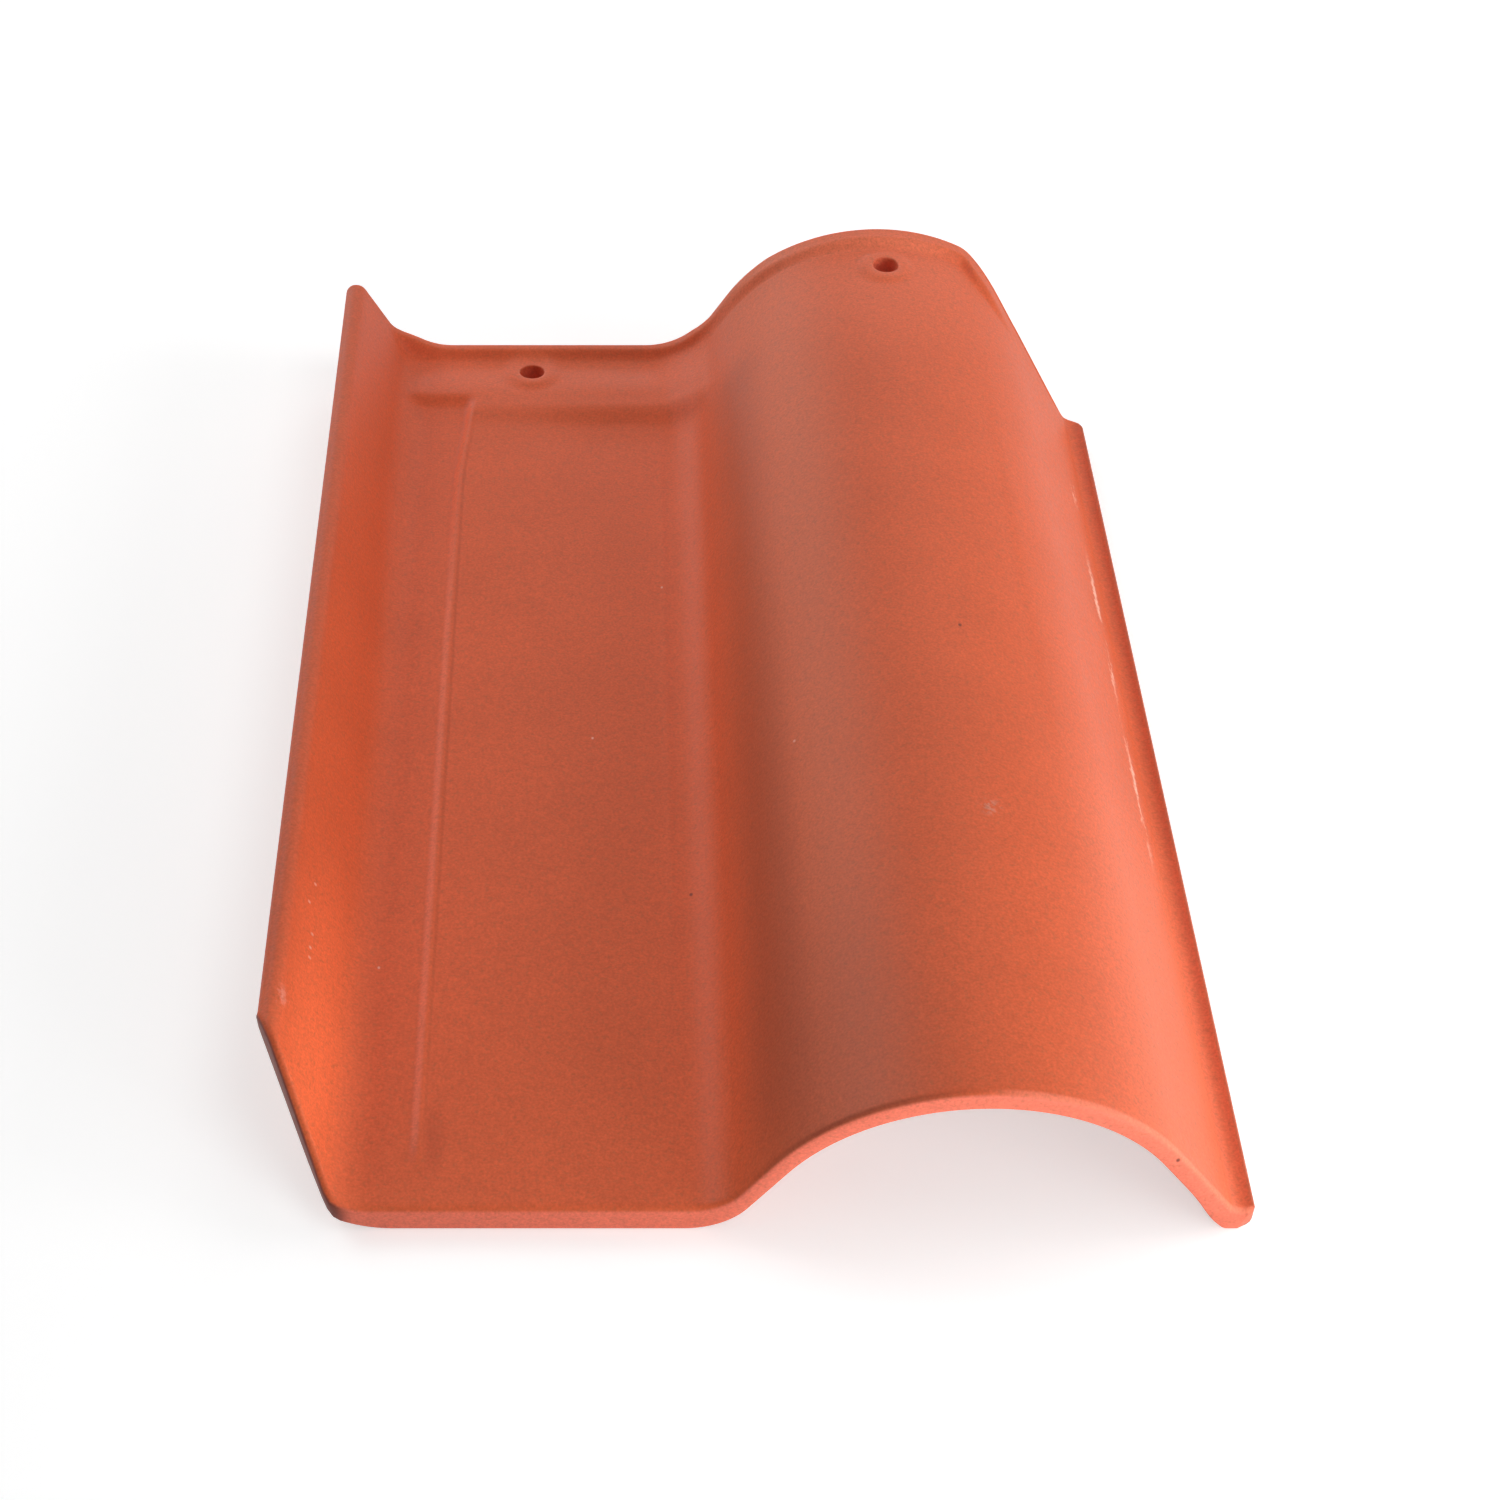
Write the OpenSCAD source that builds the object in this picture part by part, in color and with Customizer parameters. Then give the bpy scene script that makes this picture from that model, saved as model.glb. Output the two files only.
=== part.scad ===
// Clay roof tile of the one-piece S pattern: a flat pan with a turned-up lip along one side
// and a round barrel along the other, pressed and fired as a single piece.
// It lies as on a level floor: X across, Y from the butt to the head, Z up.

/* [Tile] */
// Overall length from the butt to the head
tile_length = 410; // [300:1:500]
// Overall width from the lip to the toe
tile_width = 285.4; // [260:0.2:330]
// Rounding of the upper edge at the butt
edge_round = 2.2; // [1:0.1:3.5]

/* [Pan] */
// Thickness of the flat pan
pan_wall = 9.4; // [8:0.1:12]
// Height of the raised shelf at the head of the pan
shelf_height = 2; // [0.6:0.1:2.6]
// Length of the shelf from the head to its slope
shelf_length = 38; // [26:1:60]
// Length of the slope from the shelf down to the pan
shelf_slope = 10; // [6:1:20]

/* [Lip] */
// Height of the lip's crest above the floor
lip_height = 41.5; // [34:0.5:50]
// Thickness of the lip
lip_wall = 8; // [6:0.5:10]
// Slope of the lip, in degrees
lip_angle = 57; // [50:1:66]
// Radius of the hollow between the lip and the pan
lip_radius = 32.5; // [24:0.5:38]
// Radius under that hollow
lip_under_radius = 30; // [24:0.5:40]

/* [Barrel] */
// Radius of the arch inside the barrel
arch_radius = 63; // [60:0.5:66]
// Height of the arch above the floor
arch_rise = 56.5; // [52:0.5:62]
// Radius of the barrel's outside
crown_radius = 67.5; // [65:0.5:70]
// Thickness of the barrel at its crown
crown_wall = 7; // [6:0.1:9]
// Slope of the flank beside the pan, in degrees
flank_angle = 58; // [54:1:62]
// Slope of the flank beside the toe, in degrees
outer_flank_angle = 54; // [51:1:58]
// Radius of the hollow between the pan and the barrel
fillet_radius = 17; // [13:0.5:22]
// Radius under that hollow
fillet_under_radius = 21; // [15:0.5:25]

/* [Toe] */
// Width of the sole under the barrel's outer edge
toe_width = 4.6; // [4:0.1:9]
// Rounding between the sole and the inside of the flank
toe_radius = 5; // [2:0.5:6]
// Height of the toe's upturned edge, before it is rounded
toe_height = 10.2; // [8:0.1:13]
// Upward slope of the toe at its edge, in degrees
toe_rise_angle = 34; // [24:1:40]
// Radius of the hollow between the flank and the toe
flare_radius = 4.5; // [3.5:0.1:7]
// Rounding of the toe's upper edge
toe_edge_round = 0.8; // [0.4:0.1:1.2]
// Rounding of the toe's lower edge
toe_sole_round = 3.5; // [2:0.1:4]

/* [Head rim] */
// Height of the bead along the head
rim_height = 3.5; // [2:0.1:4]
// Radius of the bead's round back
rim_radius = 4; // [4:0.1:5]
// Distance of the bead's ridge from the head
rim_inset = 2; // [1:0.1:4]
// Radius of the bead's own hollow between the pan and the barrel
rim_fillet_radius = 30; // [22:0.5:34]
// How much lower the bead is on the flank beside the pan
rim_flank_drop = 1.7; // [0:0.1:2.5]
// Slope of the lip at which the bead begins, in degrees
rim_start_angle = 45; // [20:1:50]

/* [Nail holes] */
// Diameter of both nail holes
nail_hole_diameter = 9.5; // [6:0.1:10]
// Diameter of the widened mouth of a nail hole
nail_mouth_diameter = 10.6; // [10.2:0.1:14]
// Depth of the widened mouth
nail_mouth_depth = 0.8; // [0.4:0.1:2]
// Diameter of the flat boss around a nail hole
boss_diameter = 18; // [15:0.5:24]
// Height of the boss above the surface that carries it
boss_height = 0.8; // [0.4:0.1:1.5]
// Width of the slope around the boss
boss_slope = 1.6; // [0.8:0.1:3]
// Distance of the pan's nail hole from the head
pan_hole_inset = 17; // [12:0.5:24]
// Distance of the pan's nail hole from the lip's outer edge
pan_hole_from_lip = 72.5; // [60:0.5:90]
// Distance of the barrel's nail hole from the head
barrel_hole_inset = 22; // [14:0.5:30]
// Sideways distance of the barrel's nail hole from the crown line
barrel_hole_offset = 1.9; // [0:0.1:6]

/* [Clipped corners] */
// Width cut from the butt's corner on the lip side
butt_clip_width = 22.5; // [15:0.5:32]
// Length cut from the butt's corner on the lip side
butt_clip_length = 46.5; // [30:0.5:60]
// Width cut from the head's corner on the toe side
head_clip_width = 46; // [30:0.5:55]
// Length cut from the head's corner on the toe side
head_clip_length = 43; // [34:0.5:60]
// Width of the shoulder that the cut leaves beside the toe
shoulder_width = 10; // [8:0.5:16]
// Rounding of the shoulder's corner
shoulder_round = 6.5; // [4:0.5:7.5]

/* [Hidden] */
$fn = 192;

// Steps in each bend of the swept bead and edge, around their profiles, and in each rounded corner
bend_steps = 12;
round_steps = 3;
rim_steps = 8;
corner_steps = 5;
// Overrun that carries every cut clear of the faces it passes
overrun = 3;
// Overlap that lets a straight and a round cross cleanly where they blend
sink = 0.02;
// Depth to which the bead along the head is rooted in the wall
rim_root = 4;
// Depth of the blank below the lip's face, and of the space cut away below the tile
blank_depth = 16;
space_depth = 24;
// How far a hollow's filling reaches back past its corner
filling_share = 0.4;

half_width = tile_width / 2;
half_length = tile_length / 2;
toe_edge = [half_width, toe_height];

// Direction of a surface that climbs at an angle, and the direction square to it
function along(angle) = [cos(angle), sin(angle)];
function outward(angle) = [-sin(angle), cos(angle)];

// Where two straight lines meet, each given by a point and a slope
function crossing(p, p_angle, q, q_angle) =
    p + along(p_angle) * ((q - p) * outward(q_angle)) / (along(p_angle) * outward(q_angle));

// Half the width of a round hollow at a height above its lowest line
function hollow_reach(radius, height) = sqrt(radius * radius - (radius - height) * (radius - height));

// Centre of the lip's round crest, and of the hollows that run tangent from the lip to a level floor
crest = [lip_wall / 2 - half_width, lip_height - lip_wall / 2];
function lip_centre(radius, floor_z, side) =
    [
        crest.x + (radius + side - cos(lip_angle) * (floor_z + radius - crest.y)) / sin(lip_angle),
        floor_z + radius
    ];

// Distance between the centres of a round and of a hollow at its foot that share a flank, along the floor
function flank_run(round_r, hollow_r, rise, angle) = (round_r + hollow_r - cos(angle) * rise) / sin(angle);

// Centres of the arch and of the crown over it, set out from the sole at the tile's edge
toe_centre = [half_width - toe_width, toe_radius];
arch_z = arch_rise - arch_radius;
crown_x = toe_centre.x - flank_run(arch_radius, toe_radius, toe_radius - arch_z, outer_flank_angle);
arch_centre = [crown_x, arch_z];
crown_centre = [crown_x, arch_rise + crown_wall - crown_radius];

// Centre of a hollow that runs tangent from a level floor to the flank of a round beside the pan
function fillet_centre(radius, centre, round_r, floor_z) =
    [centre.x - flank_run(round_r, radius, floor_z + radius - centre.y, flank_angle), floor_z + radius];

lip_top_centre = lip_centre(lip_radius, pan_wall, lip_wall / 2);
lip_under_centre = lip_centre(lip_under_radius, 0, -lip_wall / 2);
fillet_top_centre = fillet_centre(fillet_radius, crown_centre, crown_radius, pan_wall);
fillet_under_centre = fillet_centre(fillet_under_radius, arch_centre, arch_radius, 0);

// The straight lines of the section, each by a point that it passes through
lip_top_end = crest + lip_wall / 2 * outward(-lip_angle);
lip_under_end = crest - lip_wall / 2 * outward(-lip_angle);
pan_top = [0, pan_wall];
floor_line = [0, 0];
function crown_point(angle, depth = 0) = crown_centre + (crown_radius - depth) * outward(angle);
function arch_point(angle, depth = 0) = arch_centre + (arch_radius - depth) * outward(angle);

// The flare starts at equal distances before and after the point where flank and toe would meet
flare_corner = crossing(crown_point(-outer_flank_angle), -outer_flank_angle, toe_edge, toe_rise_angle);
flare_reach = flare_radius * tan((outer_flank_angle + toe_rise_angle) / 2);
flare_start = flare_corner - flare_reach * along(-outer_flank_angle);
flare_centre = flare_start + flare_radius * outward(-outer_flank_angle);

// A bend is [centre, radius, first slope, last slope]
lip_bend = [lip_top_centre, lip_radius, -lip_angle, 0];
fillet_bend = [fillet_top_centre, fillet_radius, 0, flank_angle];
crown_bend = [crown_centre, crown_radius, flank_angle, -outer_flank_angle];
flare_bend = [flare_centre, flare_radius, -outer_flank_angle, toe_rise_angle];

// Stations along a bend, each as [point, slope, depth below the surface]
function bend_stations(bend) =
    let(side = bend[3] > bend[2] ? -1 : 1)
    [
        for (i = [0:bend_steps])
            let(slope = bend[2] + (bend[3] - bend[2]) * i / bend_steps)
            [bend[0] + side * bend[1] * outward(slope), slope, 0]
    ];

beyond_toe = [[toe_edge + blank_depth * along(toe_rise_angle), toe_rise_angle, 0]];
crown_stations = concat(bend_stations(crown_bend), bend_stations(flare_bend), beyond_toe);
butt_stations = concat(
    [[lip_top_end, -lip_angle, 0]],
    bend_stations(lip_bend),
    bend_stations(fillet_bend),
    crown_stations
);

// The bead rises out of the lip on its way down to the pan, and is lower on the steep of the barrel's flank
rim_start = [lip_top_centre - lip_radius * outward(-rim_start_angle), -rim_start_angle, rim_height];
rim_rise_share = 0.7;
rim_steep_share = 0.65;
rim_fillet_bend = [
    fillet_centre(rim_fillet_radius, crown_centre, crown_radius, pan_wall),
    rim_fillet_radius,
    0,
    flank_angle
];
function rim_depth(slope) =
    rim_flank_drop * max(0, slope / flank_angle - rim_steep_share) / (1 - rim_steep_share);
rim_stations = concat(
    [rim_start],
    bend_stations([lip_top_centre, lip_radius, -rim_start_angle * rim_rise_share, 0]),
    [for (s = concat(bend_stations(rim_fillet_bend), crown_stations)) [s[0], s[1], rim_depth(s[1])]]
);

// Corner between two straights, filled back to a round hollow that is tangent to both
module hollow(corner, centre, radius, first, last)
{
    difference()
    {
        polygon([
            centre - radius * outward(first),
            corner + (corner - centre) * filling_share,
            centre - radius * outward(last)
        ]);
        translate(centre)
            circle(radius + sink);
    }
}

// Everything below the top surface
module below_top()
{
    lip_corner = crossing(lip_top_end, -lip_angle, pan_top, 0);
    fillet_corner = crossing(pan_top, 0, crown_point(flank_angle), flank_angle);
    blank_end = crest - blank_depth * outward(-lip_angle);
    toe_end = beyond_toe[0][0];
    polygon([
        lip_top_end,
        lip_corner,
        fillet_corner,
        crown_point(flank_angle, sink),
        crown_point(-outer_flank_angle, sink),
        flare_corner,
        toe_end,
        [toe_end.x, -overrun],
        [blank_end.x, -overrun],
        blank_end
    ]);
    hollow(lip_corner, lip_top_centre, lip_radius, -lip_angle, 0);
    hollow(fillet_corner, fillet_top_centre, fillet_radius, 0, flank_angle);
    hollow(flare_corner, flare_centre, flare_radius, -outer_flank_angle, toe_rise_angle);
    translate(crown_centre)
        circle(crown_radius);
}

// Everything below the underside
module below_underside()
{
    lip_corner = crossing(lip_under_end, -lip_angle, floor_line, 0);
    fillet_corner = crossing(floor_line, 0, arch_point(flank_angle), flank_angle);
    toe_corner = crossing(arch_point(-outer_flank_angle), -outer_flank_angle, floor_line, 0);
    space_end = lip_under_end - space_depth * along(-lip_angle);
    space_left = -half_width - space_depth;
    polygon([
        space_end,
        lip_corner,
        fillet_corner,
        arch_point(flank_angle, sink),
        arch_point(-outer_flank_angle, sink),
        toe_corner,
        [half_width + space_depth, 0],
        [half_width + space_depth, -space_depth],
        [space_left, -space_depth],
        [space_left, space_end.y]
    ]);
    hollow(lip_corner, lip_under_centre, lip_under_radius, -lip_angle, 0);
    hollow(fillet_corner, fillet_under_centre, fillet_under_radius, 0, flank_angle);
    hollow(toe_corner, toe_centre, toe_radius, -outer_flank_angle, 0);
    translate(arch_centre)
        circle(arch_radius);
}

// Points of a round corner, from one direction to another
function corner_arc(centre, radius, first, last) =
    [
        for (i = [0:corner_steps])
            let(turn = first + (last - first) * i / corner_steps)
            centre + radius * along(turn)
    ];

// A point carried on past the end of a line
function beyond(from, to, reach = overrun) = to + reach * (to - from) / norm(to - from);

// Everything inside the toe's edge, with its two rounded corners
module toe_bounds()
{
    sole_centre = [half_width - toe_sole_round, toe_sole_round];
    sole = corner_arc(sole_centre, toe_sole_round, -90, 0);
    edge_x = half_width - toe_edge_round;
    edge_top = toe_height - toe_edge_round * (tan(toe_rise_angle) + 1 / cos(toe_rise_angle));
    edge = corner_arc([edge_x, edge_top], toe_edge_round, 0, toe_rise_angle + 90);
    top_z = arch_rise + crown_wall + overrun;
    polygon(concat(
        [[-half_width - overrun, top_z], [-half_width - overrun, -overrun]],
        [beyond(sole[1], sole[0])],
        [for (i = [1:corner_steps]) sole[i]],
        [for (i = [0:corner_steps - 1]) edge[i]],
        [beyond(edge[corner_steps - 1], edge[corner_steps], toe_edge_round / 2), [toe_centre.x, top_z]]
    ));
}

// Cross-section of the wall, with the lip's round crest
module section()
{
    intersection()
    {
        difference()
        {
            below_top();
            below_underside();
        }
        toe_bounds();
    }
    translate(crest)
        circle(lip_wall / 2 - sink);
}

// Carries a profile, given as points of length and height, along stations of the top surface
module swept(stations, profile)
{
    count = len(profile);
    last = len(stations) - 1;
    points = [
        for (s = stations)
            for (p = profile)
                let(at = s[0] + (p.y - s[2]) * outward(s[1]))
                [at.x, p.x, at.y]
    ];
    sides = [
        for (i = [0:last - 1])
            for (j = [0:count - 1])
                let(k = (j + 1) % count)
                [i * count + j, i * count + k, (i + 1) * count + k, (i + 1) * count + j]
    ];
    first_end = [for (j = [count - 1:-1:0]) j];
    last_end = [for (j = [0:count - 1]) last * count + j];
    polyhedron(points, concat(sides, [first_end, last_end]));
}

// Bead along the head, rooted in the wall
module rim()
{
    ridge_y = half_length - rim_inset;
    arc = [
        for (i = [0:rim_steps])
            let(turn = 180 * i / rim_steps)
            [ridge_y + rim_radius * cos(turn), rim_height - rim_radius + rim_radius * sin(turn)]
    ];
    root = [
        [ridge_y - rim_radius, -rim_root],
        [ridge_y + rim_radius, -rim_root]
    ];
    swept(rim_stations, concat(arc, root));
}

// Cutter that rounds the upper edge at the butt
module butt_edge()
{
    arc = [
        for (i = [0:round_steps])
            let(turn = 90 * i / round_steps)
            edge_round * [1 - cos(turn), sin(turn) - 1]
    ];
    first = arc[0] - arc[1];
    last = arc[round_steps] - arc[round_steps - 1];
    profile = concat(
        [arc[0] + overrun * first / norm(first)],
        [for (i = [1:round_steps - 1]) arc[i]],
        [arc[round_steps] + overrun * last / norm(last), [-overrun, overrun]]
    );
    swept(butt_stations, [for (p = profile) [p.x - half_length, p.y]]);
}

// Raised shelf across the head of the pan, running out into the hollows beside it
module shelf()
{
    from_x = lip_top_centre.x - hollow_reach(lip_radius, shelf_height) - overrun;
    to_x = fillet_top_centre.x + hollow_reach(fillet_radius, shelf_height) + overrun;
    foot_y = half_length - shelf_length - shelf_slope;
    translate([from_x, 0, pan_wall])
        rotate([90, 0, 90])
            linear_extrude(to_x - from_x)
                polygon([
                    [half_length, -pan_wall / 2],
                    [half_length, shelf_height],
                    [half_length - shelf_length, shelf_height],
                    [foot_y, 0],
                    [foot_y, -pan_wall / 2]
                ]);
}

// Plan outline with the two clipped corners, tall enough to hold the whole tile
module plan_block()
{
    shoulder_y = half_length - head_clip_length;
    round_centre = [half_width - shoulder_round, shoulder_y - shoulder_round];
    shoulder = corner_arc(round_centre, shoulder_round, 0, 90);
    outside = half_width + overrun;
    linear_extrude(arch_rise + crown_wall + rim_height + overrun)
        polygon(concat(
            [[-half_width, butt_clip_length - half_length]],
            [[butt_clip_width - half_width, -half_length]],
            [[outside, -half_length], [outside, round_centre.y - overrun]],
            [beyond(shoulder[1], shoulder[0])],
            [for (i = [1:corner_steps]) shoulder[i]],
            [[half_width - shoulder_width, shoulder_y]],
            [[half_width - head_clip_width, half_length]],
            [[-half_width, half_length]]
        ));
}

// Places its children on a nail hole's axis, at the height of the boss
module at_pan_hole()
{
    translate([
        pan_hole_from_lip - half_width,
        half_length - pan_hole_inset,
        pan_wall + shelf_height + boss_height
    ])
        children();
}

module at_barrel_hole()
{
    translate([
        crown_x + barrel_hole_offset,
        half_length - barrel_hole_inset,
        arch_rise + crown_wall + boss_height
    ])
        children();
}

// Low boss that flares down into the tile, sunk to a depth below its top
module boss(depth)
{
    flare = boss_slope / boss_height;
    translate([0, 0, -depth])
        cylinder(h = depth, r1 = boss_diameter / 2 + depth * flare, r2 = boss_diameter / 2);
}

// Nail hole with a widened mouth, cut down from the top of its boss
module nail_hole(depth)
{
    hole_r = nail_hole_diameter / 2;
    mouth_r = nail_mouth_diameter / 2;
    flare = (mouth_r - hole_r) / nail_mouth_depth;
    translate([0, 0, -depth - overrun])
        cylinder(h = depth + overrun, r = hole_r);
    translate([0, 0, -nail_mouth_depth])
        cylinder(h = nail_mouth_depth + overrun, r1 = hole_r, r2 = mouth_r + flare * overrun);
}

module roof_tile()
{
    color("#be523a")
        difference()
        {
            intersection()
            {
                union()
                {
                    translate([0, half_length, 0])
                        rotate([90, 0, 0])
                            linear_extrude(tile_length)
                                section();
                    shelf();
                    rim();
                    at_pan_hole() boss(boss_height + shelf_height + boss_height);
                    at_barrel_hole() boss(boss_height + crown_wall / 2);
                }
                plan_block();
            }
            butt_edge();
            at_pan_hole() nail_hole(pan_wall + shelf_height + boss_height);
            at_barrel_hole() nail_hole(crown_wall + boss_height);
        }
}

roof_tile();
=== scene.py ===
import math

import bmesh
import bpy
import numpy as np
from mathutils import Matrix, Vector


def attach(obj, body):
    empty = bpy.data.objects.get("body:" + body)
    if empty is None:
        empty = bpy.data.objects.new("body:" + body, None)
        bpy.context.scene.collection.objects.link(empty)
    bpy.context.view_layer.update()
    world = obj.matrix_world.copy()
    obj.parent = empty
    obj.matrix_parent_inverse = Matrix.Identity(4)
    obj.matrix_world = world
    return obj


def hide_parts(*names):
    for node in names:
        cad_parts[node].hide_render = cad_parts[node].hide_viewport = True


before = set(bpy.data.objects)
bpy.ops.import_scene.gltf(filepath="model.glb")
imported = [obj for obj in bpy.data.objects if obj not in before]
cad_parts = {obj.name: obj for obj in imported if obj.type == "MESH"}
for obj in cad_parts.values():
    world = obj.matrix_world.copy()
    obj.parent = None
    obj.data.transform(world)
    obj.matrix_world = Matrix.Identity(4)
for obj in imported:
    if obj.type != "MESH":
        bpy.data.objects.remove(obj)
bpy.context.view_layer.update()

# Sizes of the tile in millimetres: X across, Y from the butt to the head, Z up.
# A pair of numbers is a ramp: where it starts and where it ends.
MM = 0.001
HALF_L = 205.0
HALF_W = 142.7
PAN = 9.4
PROBE = 0.05

# Lip: a round crest, a straight side and a hollow at its foot.
LIP_W = 8.0
LIP_H = 41.5
LIP_A = math.radians(61)
LIP_R = 15.0
LIP_UNDER_A = math.radians(57)
LIP_UNDER_R = 30.0
CREST_X = LIP_W / 2 - HALF_W
CREST_Z = LIP_H - LIP_W / 2
CREST_TRIM = 0.05
BOX_MARGIN = 0.03
LEFT_LIMIT = BOX_MARGIN - HALF_W

# Barrel: an arch below, a crown above, a fillet to the pan and a turned-out toe.
ARCH_R = 63.0
ARCH_RISE = 56.5
CROWN_R = 67.5
CROWN_WALL = 7.0
FLANK_DEG = 58
FLANK_A = math.radians(FLANK_DEG)
OUTER_A = math.radians(54)
FILLET_R = 17.0
FILLET_UNDER_R = 21.0
TOE_W = 4.6
TOE_R = 5.0
TOE_H = 10.2
TOE_A = math.radians(34)
FLARE_R = 4.5
TOE_EDGE_R = 0.8
TOE_SOLE_R = 3.5
TOE_CORNER_PULL = 2.6
TOE_CORNER_Y = (120, 160)
FOOT_X = 131.0
FOOT_SPREAD = 4.6
FOOT_BULGE = 1.9

# Rim along the head, which fades out on the lip's crest and toward the toe.
RIM_H = 3.45
RIM_LIP_R = 28.0
RIM_LIP_SIDE = -80
RIM_LIP_DEG = (-61, -26)
RIM_LIP_X = (-134, -130)
RIM_FILLET_R = 30.0
RIM_FILLET_REACH = (36, 54)
RIM_FLANK_DROP = 1.7
RIM_STEEP_SHARE = 0.65
RIM_BAND = 3.1
RIM_FALL = 3.1
RIM_JOIN_X = (-6, 18)
RIM_TOE_X = (99, 115)
BARREL_BAND = (5.6, 10.6)
BARREL_FLARE = 1.0
BARREL_FLARE_REACH = (2, 220)
BARREL_FLARE_LEFT = (0, 30)
BARREL_FLARE_RIGHT = (96, 118)

# Clipped corners as width and length, and how softly they turn.
BUTT_CLIP = (22.5, 46.5)
BUTT_CLIP_SOFT = 5.0
HEAD_CLIP = (46.0, 43.0)
HEAD_CLIP_SOFT = 3.0
SHOULDER_W = 10.0
SHOULDER_R = 6.5
SHOULDER_SOFT = 2.5

# Relief of the pan. Steps, tails and dips are measured from the head.
SHELF_H = 2.3
SHELF_FOOT = 0.8
SHELF_RISE = (8, 31)
SHELF_LEFT = (-121, -112)
SHELF_RIGHT = (-14, 4)
STEP_SHARE = 0.75
TAIL_SHARE = 0.25
STRIP_EDGE = (-3.8, 1.6)
STRIP_STEP = (30.6, 37.6)
STRIP_TAIL_START = 33
STRIP_TAIL_LENGTH = 7
STRIP_DIP = 0.4
STRIP_DIP_LEFT = (-120, -111)
STRIP_DIP_END = (60, 150)
PANEL_STEP = (37.5, 49.5)
PANEL_TAIL = (40, 60)
PANEL_LEFT_H = 1.0
PANEL_LEFT_X = (-94, -42)
PANEL_LEFT_Y = (20, 165)
PANEL_DIP = 0.7
PANEL_DIP_LEFT = (-75, -40)
PANEL_DIP_RIGHT = (-22, -4)
PANEL_DIP_END = (58, 150)
BEAD_H = 0.9
BEAD_X = -96.0
BEAD_SLANT = 3.4
BEAD_SLANT_Y = (118, 172)
BEAD_LEFT_W = 3.3
BEAD_RIGHT_W = 1.9
BEAD_BUTT = (-194, -180)
BEAD_HEAD = (160, 171)
SEAM_H = 0.28
SEAM_X = -20.6
SEAM_W = 1.0
SEAM_BUTT = (-150, -60)
SEAM_HEAD = (140, 156)
LIP_SEAM_H = 0.14
LIP_SEAM_X = -121
LIP_SEAM_W = 1.2
LIP_SEAM_HEAD = (150, 200)

# Slow unevenness: height, then a wave length in X and in Y with a phase.
CROSS_WAVE = (0.10, 31, 0.7, 47, 0.3)
SLANT_WAVES = ((0.07, 17, -29, 1.9), (0.04, 9, 13, 4.1))
WAVE_BUTT = (-HALF_L, -HALF_L + 25)
WAVE_HEAD = (HALF_L - 30, HALF_L - 8)
WAVE_LEFT = (-137, -130)
WAVE_RIGHT = (132, 139)

# Nail holes and the bosses around them.
BORE_R = 4.75
MOUTH_R = 5.3
MOUTH_TURNS = np.radians([0, 20, 40, 60, 78, 90])
MOUTH_SHARES = (0.25, 0.5, 0.72, 0.88)
EXIT_EDGE_R = 0.5
EXIT_TURNS = np.radians([0, 45, 90])
EXIT_SHARES = (0.3, 0.6, 0.85)
BORE_SHARES = (0.33, 0.67)
HOLE_BLOCK = 9.5
BARREL_BOSS_H = 0.8
BARREL_BOSS = (7.2, 11.5)
PAN_BOSS_H = 1.0
PAN_BOSS = (6.5, 12.5)
PAN_BOSS_HEAD_SHARE = 0.6


def flank_run(round_r, hollow_r, rise, angle):
    """Distance across between the centres of two arcs that a straight flank joins."""
    return (round_r + hollow_r - math.cos(angle) * rise) / math.sin(angle)


ARCH_Z = ARCH_RISE - ARCH_R
TOE_X = HALF_W - TOE_W
CROWN_X = TOE_X - flank_run(ARCH_R, TOE_R, TOE_R - ARCH_Z, OUTER_A)
CROWN_Z = ARCH_RISE + CROWN_WALL - CROWN_R
PAN_HOLE = (72.5 - HALF_W, HALF_L - 17.0)
BARREL_HOLE = (CROWN_X + 1.9, HALF_L - 22.0)


def step(low, high, value):
    """Smooth step from 0 at low to 1 at high."""
    t = np.clip((value - low) / (high - low), 0, 1)
    return t * t * (3 - 2 * t)


def smooth_max(a, b, width):
    h = np.clip(0.5 + 0.5 * (b - a) / width, 0, 1)
    return a * (1 - h) + b * h + width * h * (1 - h)


def bump_at(x, centre, width):
    return np.exp(-((x - centre) / width) ** 2)


def low_arc(x, cx, cz, r):
    return cz - np.sqrt(np.maximum(r * r - (x - cx) ** 2, 0))


def high_arc(x, cx, cz, r):
    return cz + np.sqrt(np.maximum(r * r - (x - cx) ** 2, 0))


def line(x, px, pz, slope):
    return pz + (x - px) * slope


def lip_centre(r, floor_z, side, angle):
    """X of the centre of the hollow at the lip's foot."""
    return CREST_X + (r + side - math.cos(angle) * (floor_z + r - CREST_Z)) / math.sin(angle)


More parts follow.
